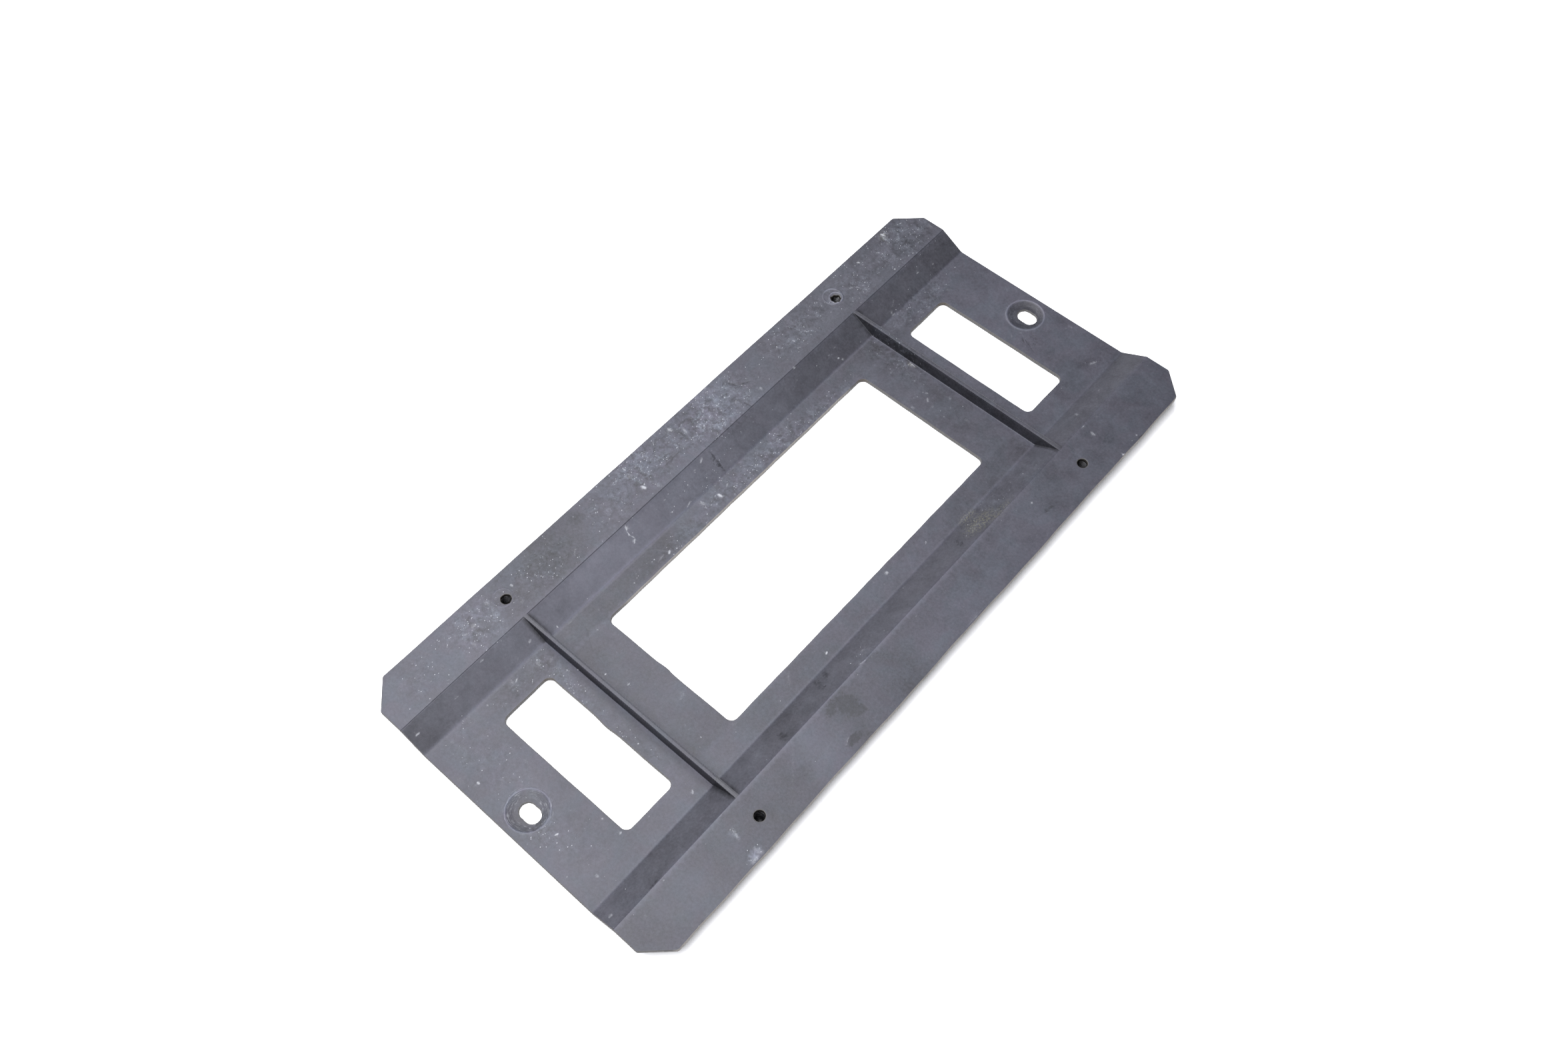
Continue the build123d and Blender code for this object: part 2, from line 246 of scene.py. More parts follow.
# Darker fields, in the same form. Those below 0 are lighter smears.
SHADES = [
    (94, -104.5, 10, 8, 0.14), (90.5, -115, 9, 6, 0.12), (94.3, -133, 9, 5, 0.14),
    (100.5, 107, 2, 9, 0.15), (68, 35, 8, 24, 0.10), (-67.8, -120, 6, 14, 0.22),
    (-68.4, -191, 9, 12, 0.12), (-100, -77.5, 8, 10, 0.3), (-90, -104, 17, 20, 0.2),
    (-94, 2.5, 13, 2, 0.25), (47.5, 203, 9, 10, 0.16), (30, 197, 20, 9, 0.12), (18, 220.5, 8, 4.5, 0.18),
    (10, 109.6, 18, 1.5, 0.22), (34, 109.6, 15, 1.3, 0.2), (-39, 222.5, 3, 3, 0.25),
    (57.5, 192, 5, 8, 0.12), (25.5, -194, 1.6, 1.2, 0.2), (-98.6, 12, 8, 9, 0.16), (63, 128, 7, 7, 0.2),
    (64, -85, 5, 20, 0.08), (103, -152.4, 5, 6.5, -1.1), (104.6, -156, 2.6, 6, -0.6),
    (89.4, -152.6, 5.5, 2.2, -0.6), (79, -200, 3, 12, -0.12), (92, -180, 12, 16, -0.08),
    (88, 30, 12, 22, 0.07), (100, -8, 9, 22, -0.1), (66, 62, 5, 16, 0.08), (66, 96, 6, 10, 0.1),
    (67, 14, 7, 12, -0.08), (20, -205, 24, 8, -0.06), (-34, -200, 20, 12, 0.06),
]
# How much lighter or darker the panel is in strips along it, partly its own tone and partly painted light
# and shade on the slopes and flats: the lowest and highest X of each, and its tone at some values of Y.
STRIPS = [
    (-107.5, -76.9, [
        (-200, -0.08), (-150, -0.06), (-130, -0.28), (-108, -0.5), (-85, -0.32), (-60, -0.06), (-30, 0),
        (-10, -0.14), (12, -0.06), (30, 0.22), (45, -0.03), (60, -0.1), (110, -0.1), (135, -0.02),
        (170, -0.06), (200, -0.14),
    ]),
    (-76.9, -60.6, [
        (-215, -0.08), (-190, 0.24), (-150, 0.4), (-134, 0.46), (-110, 0.8), (-85, 0.88), (-60, 0.86),
        (-20, 0.56), (20, 0.32), (60, 0.12), (130, -0.18), (160, -0.02), (210, -0.26),
    ]),
    (-60.6, -46, [
        (-210, -0.1), (-170, -0.3), (-110, -0.38), (-50, -0.46), (-38, -0.12), (20, -0.08), (80, -0.18),
        (112, -0.3), (130, -0.5), (145, -0.14), (165, -0.1), (190, -0.14), (210, 0),
    ]),
    (-46, 46, [
        (-210, -0.09), (-150, -0.18), (-130, -0.31), (-110, -0.2), (110, -0.13), (128, -0.2), (145, 0.02),
        (200, 0.04),
    ]),
    (46, 60.6, [
        (-210, -0.14), (-110, -0.1), (-90, -0.34), (-60, -0.26), (-20, -0.2), (10, -0.1), (30, 0),
        (50, -0.16), (90, -0.28), (112, -0.26), (128, -0.38), (145, -0.04),
    ]),
    (60.6, 76.9, [
        (-215, 0.17), (-190, -0.18), (-170, -0.22), (-150, -0.1), (-112, 0), (-95, -0.24), (-70, -0.2),
        (-50, -0.04), (-30, -0.06), (10, 0), (40, 0.02), (52, -0.04), (70, -0.1), (90, 0.04), (110, 0.15),
        (150, -0.08), (190, -0.04), (215, -0.1),
    ]),
    (76.9, 107.5, [
        (-210, -0.22), (-170, -0.28), (-110, -0.31), (-92, 0.04), (-72, -0.26), (-30, -0.36), (0, -0.2),
        (30, -0.08), (60, -0.05), (90, 0), (110, -0.13), (170, -0.08), (190, -0.14),
    ]),
]

# Raised rings that washers and screw heads pressed round the left holes: middle X and Y, radius,
# half width and height.
PRINTS = [
    (-94.5, 137.5, 5.9, 0.7, 0.14),
    (-92.2, 138.3, 4.1, 0.75, 0.38),
    (-93.6, -138.1, 5.6, 0.35, 0.09),
]
# Creases rubbed pale: X, half width and tone, and from which Y forwards over what length it comes on.
PALE_CREASES = [(-61.8, 1.1, 0.38, -18, 20), (77.1, 0.5, 0.35, 110, 50)]
# The recesses are painted darker, as the shade that falls in them.
DISH_SHADES = (0.5, 0.28)       # how dark the rear and the front recess are

# ---- Height of the sheet ----


def smooth(t):
    """Rises from 0 to 1 with no corner at either end."""
    t = np.clip(t, 0, 1)
    return t * t * (3 - 2 * t)


def hump(t):
    """A round hump that is 1 at 0, and 0 from -1 down and from 1 up."""
    return (1 + np.cos(math.pi * np.clip(t, -1, 1))) / 2


def bends(shift, floor_r):
    """Where, on one side, the floor's bend starts and the flange's bend ends."""
    half = math.tan(SLOPE / 2)
    start = FLOOR_CREASE_X + shift - floor_r * half
    return start, FLANGE_CREASE_X + shift + FLANGE_CREASE_R * half


def hat(x, shift, floor_r, low):
    """Height of the bent sheet at x, for the face whose creases lie shift outside the top's."""
    x = np.abs(x)
    start, end = bends(shift, floor_r)
    foot = floor_r - np.sqrt(np.clip(floor_r**2 - (x - start) ** 2, 0, None))
    slope = (x - FLOOR_CREASE_X - shift) * math.tan(SLOPE)
    crest = RISE - FLANGE_CREASE_R + np.sqrt(np.clip(FLANGE_CREASE_R**2 - (end - x) ** 2, 0, None))
    stops = [start, start + floor_r * math.sin(SLOPE), end - FLANGE_CREASE_R * math.sin(SLOPE), end]
    return low + np.select([x <= stop for stop in stops], [0 * x, foot, slope, crest], RISE)


def ripple(x, y):
    """How far the outer part of a flange stands above or below its level."""
    reach = smooth((np.abs(x) - RIPPLE_X) / (WIDTH / 2 - RIPPLE_X))
    size = np.where(x > 0, *RIPPLES)
    return size * reach * (np.sin(y / 23 + np.sign(x)) + 0.6 * np.sin(y / 8.3 + 2))


def recess_reach(x, y):
    """How far each point is from the middle of the nearer bolt recess."""
    return np.hypot(x, np.abs(y) - SLOT_Y)


def recess(x, y):
    """Height of the dished bolt recesses, below 0, and of their raised lips."""
    r = recess_reach(x, y)
    share = np.clip((RECESS_R - r) / (RECESS_R - RECESS_FLOOR_R), 0, 1)
    return RECESS_LIP * hump((r - RECESS_R - 0.3) / 0.8) - RECESS_DEPTH * share


def prints(x, y):
    """Height of the pressed rings."""
    return sum(h * hump((np.hypot(x - cx, y - cy) - r) / half) for cx, cy, r, half, h in PRINTS)


def marks(x, y, rows):
    """The strongest of these marks at each point, from 0 to 1."""
    strongest = 0 * x
    for mark_x, mark_y, length, width, turn, strength in rows:
        c, s = math.cos(math.radians(turn)), math.sin(math.radians(turn))
        along = ((x - mark_x) * c + (y - mark_y) * s) * 2 / length
        across = ((y - mark_y) * c - (x - mark_x) * s) * 2 / width
        strongest = np.maximum(strongest, strength * smooth((1.45 - np.hypot(along, across)) / 0.9))
    return strongest


def fields(x, y, rows):
    """The sum of these soft fields at each point."""
    total = 0 * x
    for field_x, field_y, length, width, strength in rows:
        reach = np.hypot((x - field_x) * 2 / length, (y - field_y) * 2 / width)
        total = total + strength * smooth((1.5 - reach) / 1.2)
    return total


def mould_line(x):
    """The share of the mould line's depth at x. On the right it is mostly worn away."""
    return np.where(x > 0, 0.25, 1.0) * hump((np.abs(x) - MOULD_LINE_X) / MOULD_LINE_HALF)


def top_height(x, y):
    """Height of the top face, away from the ribs."""
    sheet = hat(x, 0.0, FLOOR_CREASE_R, SHEET) - MOULD_LINE_DEPTH * mould_line(x)
    wear = SCUFF_HEIGHT * marks(x, y, SCUFFS) - CUT_DEPTH * marks(x, y, CUTS)
    clear = smooth((np.abs(np.abs(y) - RIB_Y) - RIB_HALF - 1.0) / 1.5) * (np.abs(x) < WIDTH / 2 - 1)
    return sheet + ripple(x, y) + recess(x, y) + prints(x, y) + wear * clear


def under_height(x, y):
    """Height of the underside, away from the bosses."""
    return hat(x, CREASE_SHIFT, FLOOR_CREASE_R + SHEET, 0.0) + ripple(x, y)


# ---- Outlines ----


def crease_columns(shift, floor_r, others):
    """The X values, on one side, of the mesh lines that follow the creases."""
    start, end = bends(shift, floor_r)
    angles = np.linspace(0, SLOPE, 5)
    foot = start + floor_r * np.sin(angles)
    crest = end - FLANGE_CREASE_R * np.sin(angles[::2])
    return sorted([*foot, *crest, *others])


WEAR_COLUMNS = (59.4, 62.4, 63.2)       # where the tone changes quickly beside the floor's crease
LINE_STEPS = MOULD_LINE_X + MOULD_LINE_HALF * np.array([-1, -0.5, 0, 0.5])
TOP_COLUMNS = crease_columns(0.0, FLOOR_CREASE_R, [*WEAR_COLUMNS, *LINE_STEPS])
UNDER_COLUMNS = crease_columns(CREASE_SHIFT, FLOOR_CREASE_R + SHEET, [])


def both_sides(columns):
    """These X values on the left and on the right."""
    return [side * x for side in (-1, 1) for x in columns]


def rounded_loop(corners, radius, spacing, marks_x=()):
    """A closed outline with rounded corners, and with a point at each marked X on level sides."""
    corners = [np.array(corner, float) for corner in corners]
    radii = np.broadcast_to(radius, len(corners))
    arcs = []
    for i, here in enumerate(corners):
        into = here - corners[i - 1]
        out = corners[(i + 1) % len(corners)] - here
        into, out = into / np.hypot(*into), out / np.hypot(*out)
        turn = math.atan2(into[0] * out[1] - into[1] * out[0], into @ out)
        start = here - into * radii[i] * math.tan(abs(turn) / 2)
        side = math.copysign(1, turn)
        centre = start + np.array([-into[1], into[0]]) * radii[i] * side
        steps = max(3, math.ceil(abs(turn) * radii[i] / 0.7))
        arm = start - centre
        arc = []
        for a in np.linspace(0, turn, steps + 1):
            c, s = math.cos(a), math.sin(a)
            arc.append(centre + np.array([c * arm[0] - s * arm[1], s * arm[0] + c * arm[1]]))
        arcs.append(arc)
    loop = []
    for i, arc in enumerate(arcs):
        loop += arc
        start, end = arc[-1], arcs[(i + 1) % len(arcs)][0]
        run = end - start
        length = np.hypot(*run)
        shares = list(np.linspace(0, 1, max(1, round(length / spacing)) + 1)[1:-1])
        if abs(run[1]) < 1e-6:
            forced = [(x - start[0]) / run[0] for x in marks_x]
            forced = [t for t in forced if 0 < t < 1]
            clear = 0.3 * spacing / max(length, 1e-6)
            shares = [t for t in shares if all(abs(t - f) > clear for f in forced)] + forced
        loop += [start + run * t for t in sorted(shares)]
    keep = [p for i, p in enumerate(loop) if np.hypot(*(p - loop[i - 1])) > 1e-3]
    return np.array(keep)


def inward(loop):
    """The mitred normal at each point of a loop, on its left, where the material is."""
    run = np.roll(loop, -1, 0) - loop
    normal = np.stack([-run[:, 1], run[:, 0]], 1) / np.hypot(*run.T)[:, None]
    before = np.roll(normal, 1, 0)
    return (normal + before) / (1 + (normal * before).sum(1))[:, None]


def wander(loop, size):
    """Moves a cut edge in and out a little, as the real cuts do."""
    x, y = loop.T
    waves = np.sin(0.21 * x + 0.13 * y) + np.sin(0.07 * x - 0.34 * y + 2) + 0.5 * np.sin(1.3 * x + y)
    return loop + inward(loop) * (size * waves)[:, None]


def panel_outline():
    """The panel's outline, anticlockwise, with its long edges a little uneven."""
    half_w, half_l = WIDTH / 2, LENGTH / 2
    cut_x, cut_y = CORNER_CUT
    corners = [(half_w - cut_x, -half_l), (half_w, cut_y - half_l)]
    corners += [(x, -y) for x, y in corners[::-1]]
    corners += [(-x, y) for x, y in corners[::-1]]
    columns = both_sides(TOP_COLUMNS + UNDER_COLUMNS)
    loop = rounded_loop(corners, CORNER_R, 2.6, columns)
    side = np.abs(loop[:, 0]) > half_w - 0.5
    y = loop[:, 1]
    size = np.where(loop[:, 0] > 0, *UNEVEN)
    uneven = size * (1.6 + np.sin(y / 17 + 1) + 0.6 * np.sin(y / 5.1 + 2))
    loop[:, 0] -= np.sign(loop[:, 0]) * side * uneven
    return loop


def window_loop(middle_y, length):
    """A window's outline, clockwise, with the ragged stretch that two of the windows have."""
    x, y = WINDOW_WIDTH / 2, length / 2
    corners = [(-x, middle_y - y), (-x, middle_y + y), (x, middle_y + y), (x, middle_y - y)]
    loop = wander(rounded_loop(corners, WINDOW_R, 2.2), 0.05)
    if middle_y in RAGGED:
        side, ragged_x, half, reach = RAGGED[middle_y]
        on_side = np.abs(loop[:, 1] - middle_y - side * y) < 1
        loop[:, 1] -= side * on_side * reach * hump((loop[:, 0] - ragged_x) / half)
    return loop


def slot_loop(end):
    """A slot's outline, clockwise, with the torn places that bolts have left."""
    x, y = SLOT_SIZE[0] / 2, SLOT_SIZE[1] / 2
    corners = [(-x, -y), (-x, y), (x, y), (x, -y)]
    loop = rounded_loop(corners, y - 0.02, 0.7) + [SLOT_SHIFT, 0]       # its ends' arcs just don't meet
    angle = np.arctan2(loop[:, 1], loop[:, 0])
    ragged = 0.13 * np.sin(9 * angle + end) + 0.09 * np.sin(23 * angle + 2)
    torn = hump((angle - 1.2 - 0.3 * end) / 0.5) + 0.4 * hump((angle + 1.8) / 0.7)
    return loop + inward(loop) * (ragged * (0.25 + torn))[:, None] + [0, end * SLOT_Y]


def circle(centre, radius, count):
    """A clockwise circle, so that the material is on its left."""
    angles = -np.linspace(0, 2 * math.pi, count, endpoint=False)
    return np.array(centre) + np.stack([np.cos(angles), np.sin(angles)], 1) * radius


def screw_hole(name):
    """A screw hole's outline. The left holes are worn, and the rear one is torn."""
    angles = np.linspace(0, 2 * math.pi, TURNS, endpoint=False)
    wear = HOLE_WEAR.get(name, 0.02)
    radius = SCREW_HOLE_R + wear * (0.5 * np.sin(3 * angles) + np.sin(7 * angles + 1) ** 3)
    return circle(INSERT_PLACES[name], radius[:, None], TURNS)


# ---- Triangulated faces ----


def inside(points, loop):
    """Which of these points lie inside a loop."""
    x, y = points.T
    found = np.zeros(len(points), bool)
    for (x0, y0), (x1, y1) in zip(loop, np.roll(loop, -1, 0)):
        if y0 != y1:
            crosses = (y0 > y) != (y1 > y)
            found ^= crosses & (x < x0 + (y - y0) * (x1 - x0) / (y1 - y0))
    return found


def in_domain(points, loops):
    """Which of these points lie inside the first loop and outside the others."""
    found = inside(points, loops[0])
    for loop in loops[1:]:
        found &= ~inside(points, loop)
    return found


def spread(placed, group, gap):
    """Adds the points of a group that are clear of those already placed."""
    tree = kdtree.KDTree(len(placed))
    for i, (x, y) in enumerate(placed):
        tree.insert((x, y, 0), i)
    tree.balance()
    return placed + [p for p in group if tree.find((p[0], p[1], 0))[2] > gap]


def level_grid(spacing):
    """Points all over the panel, in staggered rows."""
    rows = []
    for i, y in enumerate(np.arange(-LENGTH / 2, LENGTH / 2, spacing * 0.87)):
        rows += [(x + (i % 2) * spacing / 2, y) for x in np.arange(-WIDTH / 2, WIDTH / 2, spacing)]
    return rows


def mark_points(row):
    """Close points over one mark, so that the mesh can carry its shape."""
    mark_x, mark_y, length, width, turn, _ = row
    gap = min(max(min(length, width) / 3, 0.32), 1.1)
    c, s = math.cos(math.radians(turn)), math.sin(math.radians(turn))
    found = []
    for u in np.arange(-length * 0.8, length * 0.8 + gap / 2, gap):
        for v in np.arange(-width * 0.8, width * 0.8 + gap / 2, gap):
            if math.hypot(u / length, v / width) < 0.8:
                found.append((mark_x + u * c - v * s, mark_y + u * s + v * c))
    return found, gap


def ring_points(centre, radii, gap):
    """Points about this far apart round circles of these radii."""
    found = []
    for radius in radii:
        found += list(circle(centre, radius, round(2 * math.pi * radius / gap)))
    return found


def triangulated(loops, lines, extra):
    """Triangles between the first loop and the others, with an edge along every line."""
    loops = [loop.astype(np.float32).astype(float) for loop in loops]       # as mathutils keeps them
    coords, edges = [], []
    for path, closed in [(loop, True) for loop in loops] + [(line, False) for line in lines]:
        first, count = len(coords), len(path)
        coords += [tuple(p) for p in path]
        edges += [(first + i, first + (i + 1) % count) for i in range(count if closed else count - 1)]
    coords += [tuple(p) for p in extra]
    result = geometry.delaunay_2d_cdt([Vector(p) for p in coords], edges, [], 0, 1e-4)
    flat = np.array([v[:] for v in result[0]])
    faces = np.array([f[:] for f in result[2]])
    keep = in_domain(flat[faces].mean(1), loops)
    return flat, faces[keep]


# ---- Meshes ----


class Shell:
    """Collects points and faces until they are welded into one mesh."""

    def __init__(self):
        self.points, self.faces, self.kinds = [], [], []

    def add(self, points, faces, kind):
        first = len(self.points)
        self.points += [tuple(p) for p in points]
        self.faces += [tuple(int(i) + first for i in face) for face in faces]
        self.kinds += [kind] * len(faces)

    def add_grid(self, rows, kind, closed=True):
        """Four-sided faces between rows that have the same number of points."""
        count = len(rows[0])
        faces = []
        for r in range(len(rows) - 1):
            for i in range(count if closed else count - 1):
                a, b = r * count + i, r * count + (i + 1) % count
                faces.append((a, b, b + count, a + count))
        self.add(np.concatenate(rows), faces, kind)


def welded(shell, name):
    """One closed mesh from everything in the shell, in metres."""
    mesh = bpy.data.meshes.new(name)
    mesh.from_pydata([tuple(c * MM for c in p) for p in shell.points], [], shell.faces)
    mesh.polygons.foreach_set("material_index", shell.kinds)
    bm = bmesh.new()
    bm.from_mesh(mesh)
    bmesh.ops.remove_doubles(bm, verts=bm.verts, dist=WELD * MM)
    bmesh.ops.dissolve_degenerate(bm, edges=bm.edges, dist=WELD / 4 * MM)
    bmesh.ops.recalc_face_normals(bm, faces=bm.faces)
    open_edges = sum(not edge.is_manifold for edge in bm.edges)
    print(name, "faces", len(bm.faces), "open edges", open_edges)
    bm.to_mesh(mesh)
    bm.free()
    mesh.shade_smooth()
    return mesh


def points_of(mesh):
    """X, Y and Z of a mesh's points, in millimetres."""
    flat = np.empty(len(mesh.vertices) * 3)
    mesh.vertices.foreach_get("co", flat)
    return flat.reshape(-1, 3).T / MM


def write_values(mesh, values):
    """Writes values, by name, on the mesh's points, for a material to read."""
    for name, value in values.items():
        mesh.attributes.new(name, "FLOAT", "POINT").data.foreach_set("value", value)


def placed_in_scene(name, data):
    """A new object that holds this mesh, light or camera."""
    thing = bpy.data.objects.new(name, data)
    bpy.context.scene.collection.objects.link(thing)
    return thing


def lifted(flat, z):
    """Flat points with their heights."""
    return np.column_stack([flat, np.broadcast_to(z, len(flat))])


def top_edge(loop):
    """The rows that round a cut edge off, from the top face down."""
    rows = []
    for angle in QUARTER:
        at = loop + inward(loop) * TOP_EDGE_R * (1 - math.sin(angle))
        rows.append(lifted(at, top_height(*at.T) - TOP_EDGE_R * (1 - math.cos(angle))))
    return rows


def edge_rows(loop):
    """The rows of a rounded cut edge, from the top face round to the underside."""
    rows = top_edge(loop)
    for angle in np.linspace(0, math.pi / 2, 3):
        at = loop + inward(loop) * UNDER_EDGE_R * (1 - math.cos(angle))
        rows.append(lifted(at, under_height(*at.T) + UNDER_EDGE_R * (1 - math.sin(angle))))
    return rows


def rib_side(depth):
    """Offset and drop of each row of a rib's side, from its top edge to its foot."""
    edge, foot = min(RIB_EDGE_R, 0.35 * depth), min(RIB_FOOT_R, 0.4 * depth)
    rows = [(RIB_HALF - edge * (1 - math.sin(a)), edge * (1 - math.cos(a))) for a in QUARTER]
    low = depth - foot
    rows += [(RIB_HALF + (d - edge) * RIB_DRAFT, d) for d in np.linspace(edge, low, 5)[1:]]
    base = RIB_HALF + (low - edge) * RIB_DRAFT
    return rows + [(base + foot * (1 - math.cos(a)), low + foot * math.sin(a)) for a in QUARTER[1:]]


def rib_section(x):
    """Offset along Y and height of each row of a rib at x, from its front foot to its rear one."""
    depth = max(0.0, FLANGE_TOP - float(top_height(np.array([x]), np.array([RIB_Y]))[0]))
    side = rib_side(depth)
    line = MOULD_LINE_DEPTH * float(smooth(depth / 2))
    top = [(-0.5, 0), (0, 0), *zip(RIB_LINE, (0, line / 2, line, line / 2))]
    rows = [(-offset, drop) for offset, drop in side[::-1]] + top + side
    return [(offset, FLANGE_TOP - drop) for offset, drop in rows]


def rib_grid():
    """A rib's rows across the panel, about Y = 0: X, offset and height of each point."""
    floor = np.round(np.linspace(-TOP_COLUMNS[0], TOP_COLUMNS[0], RIB_COLUMNS), 6)
    inner = [x for x in TOP_COLUMNS if x < FLANGE_X - 1e-6]
    columns = sorted({*floor, *both_sides([*inner, *RIB_SLOPE_COLUMNS, FLANGE_X])})
    sections = [rib_section(x) for x in columns]
    return np.array([[(x, y, z) for y, z in s] for x, s in zip(columns, sections)]).transpose(1, 0, 2)


def rib_outline(grid, middle_y):
    """The loop that a rib takes out of the top face, clockwise."""
    ends = [grid[:, 0, :2], grid[:, -1, :2]]
    loop = np.concatenate([ends[0], grid[-1, :, :2], ends[1][::-1], grid[0, ::-1, :2]])
    keep = [p for i, p in enumerate(loop) if np.hypot(*(p - loop[i - 1])) > 1e-4]
    return np.array(keep) + [0, middle_y]


def column_lines(columns, inset, spacing, gaps):
    """Lines along the panel at each column, broken at the ribs."""
    end = LENGTH / 2 - inset
    lines = []
    for x in both_sides(columns):
        stops = [-end]
        for middle_y, half in gaps(x):
            stops += [middle_y - half, middle_y + half]
        stops.append(end)
        for low, high in zip(stops[::2], stops[1::2]):
            ys = np.linspace(low, high, math.ceil((high - low) / spacing) + 1)
            lines.append(np.column_stack([np.full(len(ys), x), ys]))
    return lines


def rib_gaps(x):
    """Where the ribs interrupt the top's line at x."""
    if abs(x) > FLANGE_X + 1e-6:
        return []
    half = rib_section(x)[-1][0]
    return [(-RIB_Y, half), (RIB_Y, half)]


def points_on(paths):
    """Every point of these loops and lines."""
    return [tuple(p) for path in paths for p in path]


def add_face(shell, domain, lines, placed, spacing, height, kind):
    """A face inside the first loop of its domain and outside the others, filled with points.

    The points placed so far start with those on the domain and the lines.
    """
    placed = spread(placed, level_grid(spacing), spacing * 0.62)
    extra = np.array(placed[len(points_on(domain + lines)):])
    flat, faces = triangulated(domain, lines, extra[in_domain(extra, domain)])
    shell.add(lifted(flat, height(*flat.T)), faces, kind)


def add_top(shell, loops, holes, grid):
    """The top face with its ribs."""
    domain = [loop + inward(loop) * TOP_EDGE_R for loop in loops + holes]
    domain += [rib_outline(grid, end * RIB_Y) for end in (-1, 1)]
    lines = column_lines(TOP_COLUMNS, TOP_EDGE_R, TOP_LINE_SPACING, rib_gaps)
    placed = points_on(domain + lines)
    for end in (-1, 1):
        placed = spread(placed, ring_points((0, end * SLOT_Y), RECESS_RINGS, 0.7), 0.3)
    for centre in INSERT_PLACES.values():
        placed = spread(placed, ring_points(centre, HOLE_RINGS, 0.45), 0.2)
    for cx, cy, radius, half, _ in PRINTS:
        radii = radius + half * np.array([-1, -0.5, 0, 0.5, 1])
        placed = spread(placed, ring_points((cx, cy), radii, 0.4), 0.15)
    for row in CUTS + SCUFFS + STAINS:
        points, gap = mark_points(row)
        placed = spread(placed, points, gap * 0.7)
    add_face(shell, domain, lines, placed, TOP_SPACING, top_height, SKIN)
    for end in (-1, 1):
        shell.add_grid([row + [0, end * RIB_Y, 0] for row in grid], SKIN, closed=False)


def add_underside(shell, loops, bosses):
    """The underside, between the cut edges and the roots of the bosses."""
    domain = [loop + inward(loop) * UNDER_EDGE_R for loop in loops] + bosses
    lines = column_lines(UNDER_COLUMNS, UNDER_EDGE_R, UNDER_LINE_SPACING, lambda x: [])
    add_face(shell, domain, lines, points_on(domain + lines), UNDER_SPACING, under_height, UNDER)


def add_boss(shell, name, hole):
    """A screw hole, the pocket below it that holds the insert, and the boss round that."""
    centre = INSERT_PLACES[name]
    foot = lifted(hole, INSERT_HIGH)
    shell.add_grid(top_edge(hole) + [foot], CUT)
    neck_low = (INSERT_LOW + INSERT_HIGH - POCKET_NECK_WIDTH) / 2
    neck_high = neck_low + POCKET_NECK_WIDTH
    pocket = [
        (POCKET_R, INSERT_HIGH), (POCKET_R, neck_high), (POCKET_NECK_R, neck_high),
        (POCKET_NECK_R, neck_low), (POCKET_R, neck_low),
        (POCKET_R, POCKET_CHAMFER), (POCKET_R + POCKET_CHAMFER, 0),
    ]
    wall = [(BOSS_FOOT_R - 0.2, 0), (BOSS_FOOT_R - 0.06, 0.06), (BOSS_FOOT_R, 0.2)]     # a rounded foot
    wall.append((BOSS_HEAD_R, INSERT_HIGH - BOSS_FILLET))
    for angle in QUARTER[1:]:
        r = BOSS_HEAD_R + BOSS_FILLET * (1 - math.cos(angle))
        wall.append((r, INSERT_HIGH - BOSS_FILLET * (1 - math.sin(angle))))
    rows = [foot] + [lifted(circle(centre, r, TURNS), z) for r, z in pocket + wall]
    root = circle(centre, BOSS_HEAD_R + BOSS_FILLET, TURNS)
    rows[-1] = lifted(root, under_height(*root.T))
    shell.add_grid(rows, UNDER)
    return root


# ---- Wear, and painted light and shade, on the panel's mesh ----


def tone_light_and_shade(x, y):
    """How much lighter, or darker below 0, the panel's colour is at each point: its own tone, with
    painted light and shade along the strips and painted shade in the recesses.
    """
    total = 0 * x
    for low, high, knots in STRIPS:
        total = total + smooth((x - low) / 1.2) * smooth((high - x) / 1.2) * np.interp(y, *zip(*knots))
    total = total - fields(x, y, SHADES)
    for crease_x, half, pale, start, run in PALE_CREASES:
        total = total + pale * hump((x - crease_x) / half) * smooth((start - y) / run)
    r = recess_reach(x, y)
    total = total + 0.75 * hump(r - RECESS_R - 0.2)
    # painted shade in the recesses
    total = total - np.where(y > 0, *DISH_SHADES) * smooth((RECESS_R - r) / 0.8)
    for cx, cy, radius, half, height in PRINTS:
        broken = 0.6 + 0.4 * np.sin(2 * np.arctan2(y - cy, x - cx) + 2.5)
        ring = hump((np.hypot(x - cx, y - cy) - radius) / half)
        total = total + min(1.6, 9 * height) * broken * ring
    return total


def rib_painted_shade(z):
    """Painted shade on the ribs: their sides are painted dark, for the shade that they stand in. Their
    tops and feet are lighter.
    """
    return -0.2 - 0.36 * smooth((FLANGE_TOP - 0.15 - z) / 0.3) + 0.75 * smooth((SHEET + 0.45 - z) / 0.4)


def pale_and_lit_cut(x, y):
    """How pale a cut edge is, partly the cut's own beige and partly painted light: the right side most,
    then the centre window's left side.
    """
    right = x > WIDTH / 2 - 1.5
    window_side = (np.abs(x + WINDOW_WIDTH / 2) < 1) * smooth((100 - np.abs(y)) / 12)
    return np.maximum(0.6 * right, 0.75 * window_side)


def window_corner_shade(x, y):
    """The rear left corner of each window, where the cut wall is painted brown as shade."""
    total = np.zeros_like(x)
    corner_x = 1.2 - WINDOW_WIDTH / 2
    for middle_y, length in WINDOWS:
        corner_y = middle_y + length / 2 - 1.2
        total += smooth((4.2 - np.hypot(x - corner_x, y - corner_y)) / 2)
    return total


def worn_ring(x, y):
    """Where bolt heads have rubbed in and round the recesses."""
    r = recess_reach(x, y)
    return np.where(y > 0, 0.3, 1.0) * smooth((r - 6.2) / 1.2) * smooth((14.0 - r) / 2.2)


def spin_place(x, y):
    """A place to look up noise that runs in rings about each bolt recess."""
    angle = np.arctan2(np.abs(y) - SLOT_Y, x)
    r = recess_reach(x, y)
    return np.stack([r, 3 * np.cos(angle), 3 * np.sin(angle) + 9 * np.sign(y)], 1)


